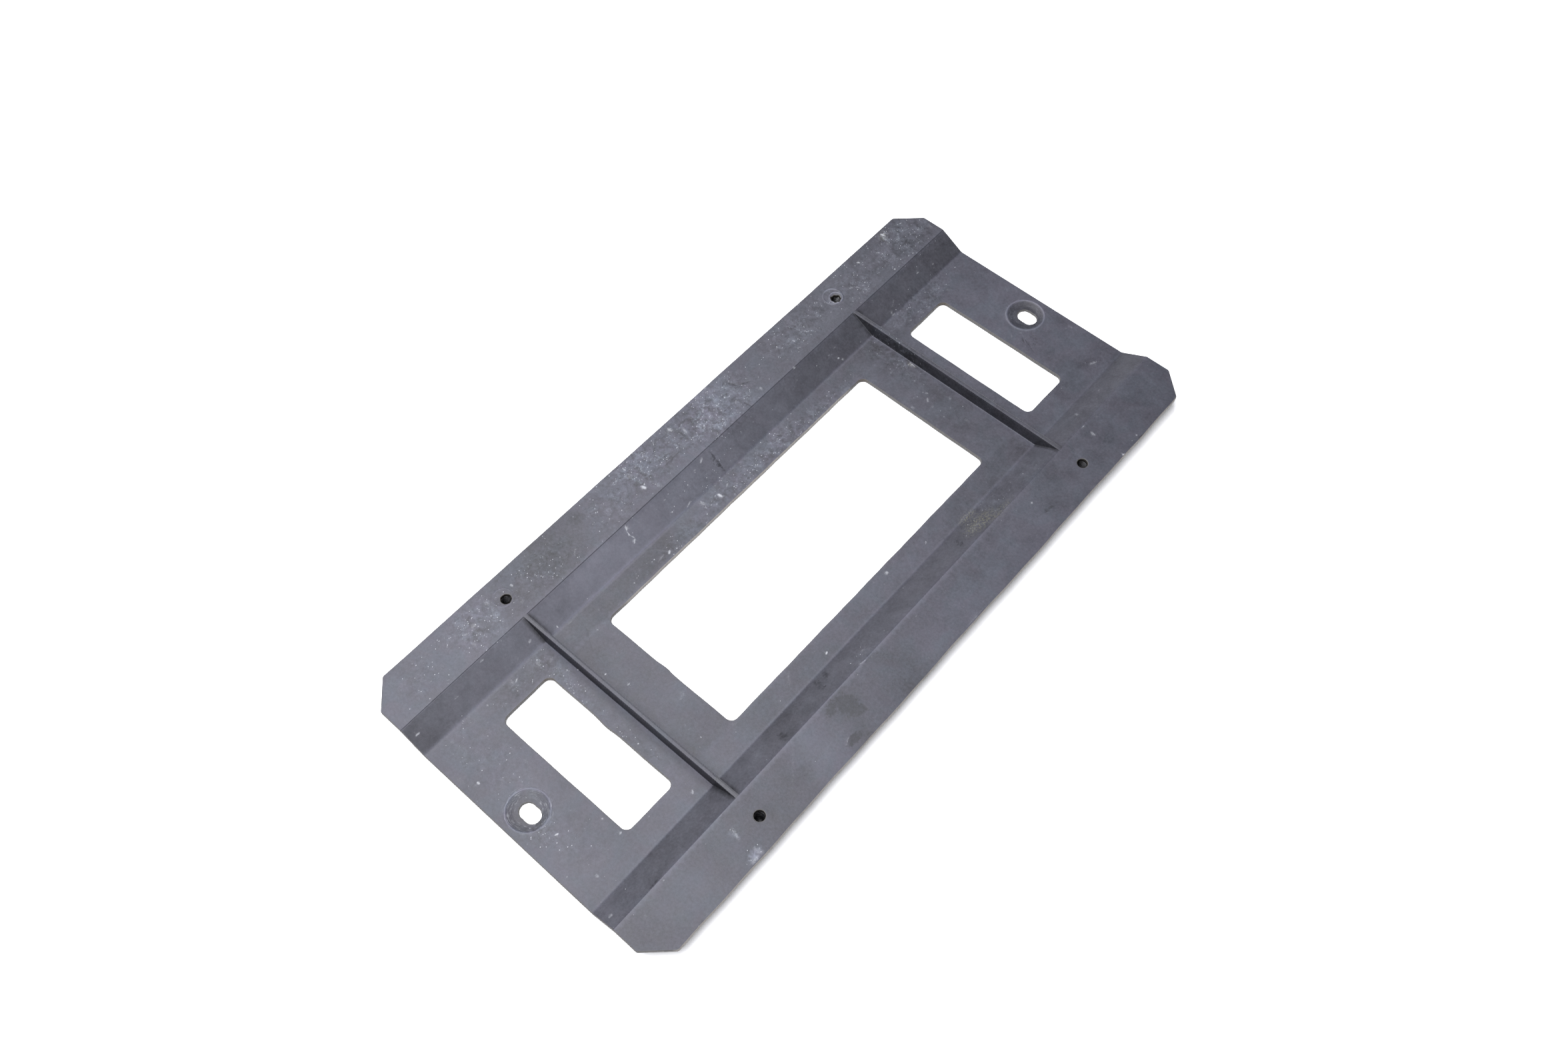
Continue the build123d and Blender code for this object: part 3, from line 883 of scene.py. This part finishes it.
def neutral(x, y):
    """Where the grey is less blue: on the slopes, and towards the rear, mostly on the left flange."""
    slope = 0.75 * smooth((np.abs(x) - 60.5) / 2) * smooth((77.5 - np.abs(x)) / 2)
    rear = smooth(y / 130) * (0.3 + 0.25 * smooth((-76 - x) / 2))
    return np.maximum(slope, rear)


def paint(mesh):
    """Writes the wear, and the painted light and shade, as values on the mesh's points, for the material
    to read.
    """
    x, y, z = points_of(mesh)
    on_rib = (np.abs(np.abs(y) - RIB_Y) < 2.2) & (np.abs(x) < FLANGE_X)
    # painted shade: a dark line along the mould line's groove and along the far edge of each rib's top
    line = mould_line(x) * ~on_rib * (1 - 0.5 * smooth((-140 - y) / 15))
    rib_offset = y - np.sign(y) * RIB_Y
    line = np.maximum(line, on_rib * (z > FLANGE_TOP - 0.3) * hump((rib_offset - 0.8) / 0.3))
    write_values(mesh, {
        "scuff": marks(x, y, SCUFFS) * ~on_rib,
        "stain": np.maximum(marks(x, y, STAINS), 0.8 * marks(x, y, CUTS)) * ~on_rib,
        "line": line,
        "dust": fields(x, y, DUST),
        "yellow": fields(x, y, YELLOW_DUST) * ~on_rib,
        "tone_light_and_shade": np.where(on_rib, rib_painted_shade(z), tone_light_and_shade(x, y)),
        "pale": pale_and_lit_cut(x, y),
        "corner_shade": window_corner_shade(x, y),
        "neutral": neutral(x, y),
        "worn": worn_ring(x, y),
    })
    spin = mesh.attributes.new("spin", "FLOAT_VECTOR", "POINT")
    spin.data.foreach_set("vector", spin_place(x, y).ravel())


def make_panel(materials):
    """The whole moulding as one piece."""
    shell = Shell()
    loops = [panel_outline()] + [window_loop(*w) for w in WINDOWS] + [slot_loop(end) for end in (-1, 1)]
    holes = {name: screw_hole(name) for name in INSERT_PLACES}
    add_top(shell, loops, list(holes.values()), rib_grid())
    for loop in loops:
        shell.add_grid(edge_rows(loop), CUT)
    roots = [add_boss(shell, name, hole) for name, hole in holes.items()]
    add_underside(shell, loops, roots)
    mesh = welded(shell, "moulded_panel")
    paint(mesh)
    for material in materials:
        mesh.materials.append(material)
    panel = placed_in_scene("moulded_panel", mesh)
    panel.modifiers.new("weighted_normals", "WEIGHTED_NORMAL").weight = 60
    return panel


# ---- The threaded inserts ----
THREAD_PITCH = 1.0
THREAD_MINOR_R = 2.5
THREAD_MAJOR_R = 3.0
THREAD_DEPTH = 6.3
THREAD_END = INSERT_HIGH - (THREAD_MAJOR_R - THREAD_MINOR_R) - THREAD_DEPTH
DRILL_TIP = 1.4
THREAD_FLAT = 0.12              # the share of half a pitch that is flat at the thread's crest
THREAD_FLANK = 0.7              # and the share that each flank takes up
ROWS_PER_PITCH = 10
KNURL_DEPTH = 0.18
KNURLS = 32
KNURL_LEAN = 0.22               # how far the knurls turn, in radians, for each millimetre of height
KNURL_ROWS = 9
INSERT_GAP = 0.02               # between the barrel and its pocket, and half as much at the ends
INSERT_FACE_R = 4.05            # a chamfer joins the end faces to the barrel
INSERT_CHAMFER = 0.15
INSERT_TURNS = 96


def thread_radius(z, angle):
    """Radius of the threaded bore, with its countersunk mouth. The thread fades out at its end."""
    phase = (z / THREAD_PITCH - angle / (2 * math.pi)) % 1
    ridge = np.clip((np.abs(2 * phase - 1) - THREAD_FLAT) / THREAD_FLANK, 0, 1) * smooth(z - THREAD_END)
    radius = THREAD_MINOR_R + (THREAD_MAJOR_R - THREAD_MINOR_R) * ridge
    return np.maximum(radius, THREAD_MAJOR_R - (INSERT_HIGH - z))


def knurl_radius(z, angle):
    """Radius of the barrel: crossed knurling either side of a plain groove."""
    if abs(z - (INSERT_LOW + INSERT_HIGH) / 2) < POCKET_NECK_WIDTH / 2:
        return np.full(len(angle), POCKET_NECK_R - INSERT_GAP)
    lean = z * KNURL_LEAN
    crossed = np.abs(np.sin(KNURLS / 2 * (angle + lean))) * np.abs(np.sin(KNURLS / 2 * (angle - lean)))
    return POCKET_R - INSERT_GAP - KNURL_DEPTH * (1 - np.sqrt(crossed))


def make_insert(name, material):
    """A threaded insert as one closed mesh: up its blind bore, over its top and down its barrel."""
    centre = np.array(INSERT_PLACES[name])
    angle = np.linspace(0, 2 * math.pi, INSERT_TURNS, endpoint=False)
    around = np.stack([np.cos(angle), np.sin(angle)], 1)
    low, high = INSERT_LOW + INSERT_GAP / 2, INSERT_HIGH - INSERT_GAP / 2
    profile = [(0, THREAD_END - DRILL_TIP)]
    for z in np.linspace(THREAD_END, high, round((high - THREAD_END) / THREAD_PITCH * ROWS_PER_PITCH)):
        profile.append((thread_radius(z, angle)[:, None], z))
    profile.append((INSERT_FACE_R, high))
    half_neck = POCKET_NECK_WIDTH / 2
    middle = (INSERT_LOW + INSERT_HIGH) / 2
    upper = np.linspace(high - INSERT_CHAMFER, middle + half_neck, KNURL_ROWS)
    neck = [middle + half_neck - 0.01, middle - half_neck + 0.01]
    lower = np.linspace(middle - half_neck, low + INSERT_CHAMFER, KNURL_ROWS)
    profile += [(knurl_radius(z, angle)[:, None], z) for z in [*upper, *neck, *lower]]
    profile += [(INSERT_FACE_R, low), (0, low)]
    shell = Shell()
    shell.add_grid([lifted(centre + around * radius, z) for radius, z in profile], 0)
    mesh = welded(shell, "threaded_" + name)
    x, y, z = points_of(mesh)
    in_bore = (np.hypot(x - centre[0], y - centre[1]) < THREAD_MAJOR_R) & (z > THREAD_END - 2 * DRILL_TIP)
    # marks the bore, where the steel material paints shade
    write_values(mesh, {"bore": in_bore.astype(float)})
    mesh.materials.append(material)
    return placed_in_scene("threaded_" + name, mesh)


# ---- Materials ----


class Value:
    """A node's output. Arithmetic with it adds Math nodes."""

    def __init__(self, nodes, socket):
        self.nodes, self.socket = nodes, socket

    def __add__(self, other):
        return self.nodes.math("ADD", self, other)

    def __sub__(self, other):
        return self.nodes.math("SUBTRACT", self, other)

    def __mul__(self, other):
        return self.nodes.math("MULTIPLY", self, other)

    def __pow__(self, other):
        return self.nodes.math("POWER", self, other)


class Nodes:
    """Builds a material's nodes."""

    def __init__(self, name):
        self.material = bpy.data.materials.new(name)
        self.material.use_nodes = True
        self.tree = self.material.node_tree
        self.shader = self.tree.nodes["Principled BSDF"]

    def plug(self, node, key, value):
        """Gives an input a constant, or links it to a node's output."""
        if isinstance(value, Value):
            value = value.socket
        if isinstance(value, bpy.types.NodeSocket):
            self.tree.links.new(value, node.inputs[key])
        else:
            node.inputs[key].default_value = value

    def finish(self, **sockets):
        """Plugs these into the shader and returns the material."""
        for key, value in sockets.items():
            self.plug(self.shader, key.replace("_", " "), value)
        return self.material

    def node(self, kind, sockets, **settings):
        """Adds a node of this kind, with what its inputs take and its other settings."""
        node = self.tree.nodes.new("ShaderNode" + kind)
        for key, value in settings.items():
            setattr(node, key, value)
        for key, value in sockets.items():
            self.plug(node, key, value)
        return node

    def add(self, kind, sockets, output=0, **settings):
        """Adds a node and returns one of its outputs."""
        return Value(self, self.node(kind, sockets, **settings).outputs[output])

    def math(self, operation, a, b=0.0, clamp=False):
        return self.add("Math", {0: a, 1: b}, operation=operation, use_clamp=clamp)

    def place(self):
        """The point on the object, in millimetres."""
        return self.tint(self.add("TexCoord", {}, "Object"), 1 / MM)

    def stretched(self, place, turn, scale):
        """A place turned about Z, in degrees, and scaled."""
        sockets = {"Vector": place, "Rotation": (0, 0, math.radians(turn)), "Scale": scale}
        return self.add("Mapping", sockets)

    def noise(self, place, size, detail=3.0, roughness=0.55, distortion=0.0):
        """Noise with features about this many millimetres across, from 0 to 1."""
        sockets = {"Vector": place, "Scale": 1 / size, "Detail": detail, "Roughness": roughness}
        return self.add("TexNoise", {**sockets, "Distortion": distortion})

    def painted(self, name, output="Fac"):
        """What is painted on the mesh under this name."""
        return self.add("Attribute", {}, output, attribute_name=name)

    def ramp(self, value, low, high, to_low=0.0, to_high=1.0):
        """Maps low..high to to_low..to_high, smoothly and no further."""
        sockets = {"Value": value, "From Min": low, "From Max": high}
        sockets.update({"To Min": to_low, "To Max": to_high})
        return self.add("MapRange", sockets, interpolation_type="SMOOTHSTEP")

    def mix(self, share, a, b):
        """Colour a where share is 0 and b where it is 1."""
        return self.add("Mix", {0: share, 6: a, 7: b}, 2, data_type="RGBA")

    def tint(self, colour, factor):
        """A colour or a vector times a factor."""
        return self.add("VectorMath", {0: colour, "Scale": factor}, operation="SCALE")

    def bump(self, height, strength, distance, normal=None):
        """A normal bent by a height, whose full size is the distance in millimetres."""
        sockets = {"Height": height, "Strength": strength, "Distance": distance * MM}
        if normal is not None:
            sockets["Normal"] = normal
        return self.add("Bump", sockets)


# Linear colours: the panel's own greys, what lies on it, and painted light and shade.
VIOLET = (0.0383, 0.0368, 0.0490, 1)
TEAL = (0.0345, 0.0378, 0.0494, 1)
SLATE = (0.0380, 0.0381, 0.0448, 1)
FROST = (0.125, 0.138, 0.160, 1)
CHALK = (0.40, 0.41, 0.43, 1)
GRIME_AND_SHADE = (0.0105, 0.0108, 0.0135, 1)
OCHRE = (0.16, 0.155, 0.10, 1)
SHADE_UMBER = (0.032, 0.023, 0.014, 1)
PALE_AND_LIT_WALL = (0.20, 0.185, 0.165)
DARK_WALL = (0.045, 0.042, 0.039)
UNDERSIDE = (0.036, 0.036, 0.043)
STEEL = (0.55, 0.55, 0.54)
OLD_GREASE = (0.05, 0.042, 0.036, 1)
TABLE = (0.93, 0.93, 0.93)


def speckle(nodes, place, size, density, largest=0.2):
    """Scattered grains, one to a cell. Their share of the cells is the density."""
    leaning = nodes.stretched(place, 33, (1, 0.8, 1))
    cells = nodes.node("TexVoronoi", {"Vector": leaning, "Scale": 1 / size})
    chance = nodes.node("SeparateColor", {0: cells.outputs["Color"]})
    shown = nodes.ramp(density - chance.outputs[0], 0.0, 0.04)
    reach = nodes.ramp(chance.outputs[1], 0.0, 1.0, 0.04, largest)
    return nodes.ramp(reach - cells.outputs["Distance"], -0.03, 0.06) * shown


def skin_material():
    """The dull, dusty blue-grey of the moulded face."""
    nodes = Nodes("moulded_skin")
    place = nodes.place()
    broad = nodes.noise(place, 30.0, 3.0)
    patch = nodes.noise(place, 9.0, 5.0, 0.55, 0.5)
    fine = nodes.noise(place, 1.5, 4.0, 0.7)
    grain = nodes.noise(place, 0.4, 2.0)

    # the panel's own grey, with the painted light and shade of its tone
    dust = nodes.painted("dust")
    mottle = (nodes.noise(place, 3.6, 6.0, 0.68, 0.4) - 0.5) * (dust * 5.0)
    shade = nodes.painted("tone_light_and_shade") + -0.23 + broad * 0.7 + patch * 0.6 + fine * 0.8 + grain * 0.4 + mottle
    hue = nodes.ramp(nodes.noise(place, 15.0, 4.0, 0.6, 0.8), 0.35, 0.7)
    base = nodes.mix(nodes.painted("neutral"), nodes.mix(hue, VIOLET, TEAL), SLATE)
    colour = nodes.tint(base, nodes.math("MAXIMUM", shade, 0.2))

    # a film of dust, and its grains
    cloud = nodes.noise(place, 6.5, 7.0, 0.68, 0.6)
    film = nodes.ramp(cloud, 0.44, 0.74) * (dust**1.5 + 0.05)
    film = nodes.math("MULTIPLY", film, nodes.ramp(fine, 0.36, 0.62, 0.1, 1.25), clamp=True)
    colour = nodes.mix(film * 0.9, colour, FROST)
    dense = (dust * 0.7 + 0.014) * nodes.ramp(cloud, 0.42, 0.62, 0.25, 1.9)
    colour = nodes.mix(speckle(nodes, place, 0.9, dense, 0.26) * 0.6, colour, CHALK)
    colour = nodes.mix(speckle(nodes, place, 2.3, dense, 0.17) * 0.4, colour, CHALK)
    yellow = nodes.ramp(nodes.noise(place, 0.9, 4.0), 0.42, 0.66) * 0.4 * nodes.painted("yellow")
    colour = nodes.mix(yellow, colour, OCHRE)

    # rings that bolt heads rubbed
    spin = nodes.stretched(nodes.painted("spin", "Vector"), 0, (2.4, 1.0, 1.0))
    rings = nodes.ramp(nodes.noise(spin, 1.0, 4.0, 0.65), 0.5, 0.72) * nodes.painted("worn")
    colour = nodes.mix(rings * nodes.ramp(patch, 0.4, 0.56, 0.08, 0.3), colour, CHALK)

    # dirt, painted shade along the mould line and the ribs' tops, then scuffs
    ragged = nodes.ramp(nodes.noise(place, 1.6, 4.0, 0.7), 0.3, 0.7, -0.45, 0.4)
    stained = nodes.painted("stain")
    stain = nodes.ramp(stained + ragged, 0.12, 0.85) * nodes.ramp(stained, 0.02, 0.2)
    colour = nodes.mix(stain * nodes.ramp(fine, 0.35, 0.6, 0.5, 0.85), colour, GRIME_AND_SHADE)
    colour = nodes.mix(nodes.painted("line") * 0.62, colour, GRIME_AND_SHADE)
    ragged = nodes.ramp(nodes.noise(place, 1.0, 5.0, 0.7, 0.8), 0.3, 0.7, -0.4, 0.3)
    scuffed = nodes.painted("scuff")
    scuff = nodes.ramp(scuffed + ragged, 0.0, 1.1) * scuffed**1.6
    colour = nodes.mix(scuff * 0.55, colour, CHALK)

    # how dull and how uneven it is
    rough = nodes.ramp(patch, 0.3, 0.7, 0.43, 0.49) + film * 0.2
    rough = nodes.math("ADD", rough, scuff * 0.2, clamp=True)
    normal = nodes.bump(patch, 0.35, 0.25)
    normal = nodes.bump(fine, 0.35, 0.10, normal)
    normal = nodes.bump(grain + scuff, 0.5, 0.05, normal)
    return nodes.finish(Base_Color=colour, Roughness=rough, Normal=normal, Specular_IOR_Level=0.28)


def cut_material():
    """The paler, drawn face of a cut edge."""
    nodes = Nodes("cut_edge")
    place = nodes.place()
    drawn = nodes.noise(nodes.stretched(place, 0, (1.0, 1.0, 0.12)), 0.8, 4.0, 0.6)
    patch = nodes.noise(place, 7.0, 4.0)
    shade = drawn * 0.5 + patch * 0.6 + 0.42
    # the walls that face right get a pale copy of the wall colour: the cut's own beige with painted light
    pale = nodes.tint(PALE_AND_LIT_WALL, shade)
    colour = nodes.mix(nodes.painted("pale"), nodes.tint(DARK_WALL, shade), pale)
    colour = nodes.mix(nodes.ramp(patch, 0.52, 0.68, 0.0, 0.35), colour, GRIME_AND_SHADE)
    # painted brown shade in each window's rear left corner
    colour = nodes.mix(nodes.painted("corner_shade") * 0.9, colour, SHADE_UMBER)
    rough = nodes.ramp(drawn, 0.3, 0.7, 0.5, 0.68)
    return nodes.finish(Base_Color=colour, Roughness=rough, Normal=nodes.bump(drawn, 0.5, 0.12))


def under_material():
    """The cleaner, smoother underside, which only the mould has touched."""
    nodes = Nodes("moulded_underside")
    place = nodes.place()
    flow = nodes.noise(nodes.stretched(place, 8, (1.0, 0.25, 1.0)), 12.0, 4.0, 0.55, 0.4)
    fine = nodes.noise(place, 1.1, 3.0)
    colour = nodes.tint(UNDERSIDE, flow * 0.4 + fine * 0.2 + 0.7)
    specks = speckle(nodes, place, 3.4, nodes.ramp(flow, 0.4, 0.7, 0.04, 0.2))
    colour = nodes.mix(specks * 0.25, colour, CHALK)
    rough = nodes.ramp(flow, 0.3, 0.7, 0.36, 0.5)
    return nodes.finish(Base_Color=colour, Roughness=rough, Normal=nodes.bump(fine, 0.3, 0.08))


def steel_material(name, brightness, dirt):
    """Plated steel, dulled and dirty in places, with painted shade down its bore."""
    nodes = Nodes(name)
    place = nodes.place()
    cloud = nodes.noise(place, 1.4, 4.0, 0.6)
    fine = nodes.noise(place, 0.25, 3.0)
    shade = nodes.ramp(fine, 0.3, 0.7, 0.8, 1.15)
    colour = nodes.tint(tuple(c * brightness for c in STEEL), shade)
    grime = nodes.ramp(cloud, 0.62 - dirt, 0.85 - dirt)
    colour = nodes.mix(grime * 0.8, colour, OLD_GREASE)
    # painted shade down the threaded bore
    colour = nodes.mix(nodes.painted("bore") * 0.85, colour, GRIME_AND_SHADE)
    metal = nodes.ramp(grime, 0.0, 1.0, 1.0, 0.35)
    rough = nodes.ramp(cloud, 0.3, 0.7, 0.34, 0.6)
    return nodes.finish(
        Base_Color=colour, Metallic=metal, Roughness=rough, Normal=nodes.bump(fine, 0.3, 0.04)
    )


def floor_material():
    """A plain white surface."""
    nodes = Nodes("studio_floor")
    cloud = nodes.noise(nodes.place(), 60.0, 2.0)
    colour = nodes.tint(TABLE, nodes.ramp(cloud, 0.3, 0.7, 0.99, 1.0))
    return nodes.finish(Base_Color=colour, Roughness=0.8, Emission_Color=colour, Emission_Strength=0.12)


# ---- Studio ----
FLOOR_HALF = 3.0                # metres, as all of the staging is


def make_floor():
    mesh = bpy.data.meshes.new("studio_floor")
    corners = [(-1, -1), (1, -1), (1, 1), (-1, 1)]
    mesh.from_pydata([(x * FLOOR_HALF, y * FLOOR_HALF, 0) for x, y in corners], [], [range(4)])
    mesh.materials.append(floor_material())
    placed_in_scene("studio_floor", mesh)


def make_light(name, place, aim, size, power):
    """An area light, turned towards the point that it aims at."""
    data = bpy.data.lights.new(name, "AREA")
    data.shape = "RECTANGLE"
    data.size, data.size_y = size
    data.energy = power
    data.color = (0.962, 0.965, 1.0)
    light = placed_in_scene(name, data)
    light.location = place
    light.rotation_euler = (Vector(aim) - Vector(place)).to_track_quat("-Z", "Y").to_euler()


def make_camera():
    """The camera that was fitted to the photograph."""
    data = bpy.data.cameras.new("camera")
    data.sensor_width = 36.0
    data.lens = 32.0637
    camera = placed_in_scene("camera", data)
    camera.location = (0.255431, -0.295770, 0.678703)
    camera.rotation_euler = Euler(math.radians(a) for a in (30.6509, 0.5455, 41.3327))
    bpy.context.scene.camera = camera


def make_world(strength):
    world = bpy.data.worlds.new("studio")
    world.use_nodes = True
    background = world.node_tree.nodes["Background"].inputs
    background["Color"].default_value = (0.97, 0.98, 1.0, 1)
    background["Strength"].default_value = strength
    bpy.context.scene.world = world


make_camera()
make_floor()
make_world(0.18)
make_light("overhead", (-0.25, -0.17, 1.0), (-0.1, 0, 0), (1.6, 1.0), 44.5)
bpy.context.scene.view_settings.view_transform = "Standard"

panel = make_panel([skin_material(), cut_material(), under_material()])
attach(panel, "root")
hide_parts("flap_panel")

# The inserts' steel is painted darker than plated steel, as the shade down their holes, the right ones
# most.
bright_steel = steel_material("insert_steel_bright", 0.4, 0.1)
shaded_steel = steel_material("insert_steel_shaded", 0.12, 0.25)
for node_name in INSERT_PLACES:
    insert = make_insert(node_name, bright_steel if "left" in node_name else shaded_steel)
    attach(insert, "root")
    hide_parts(node_name)
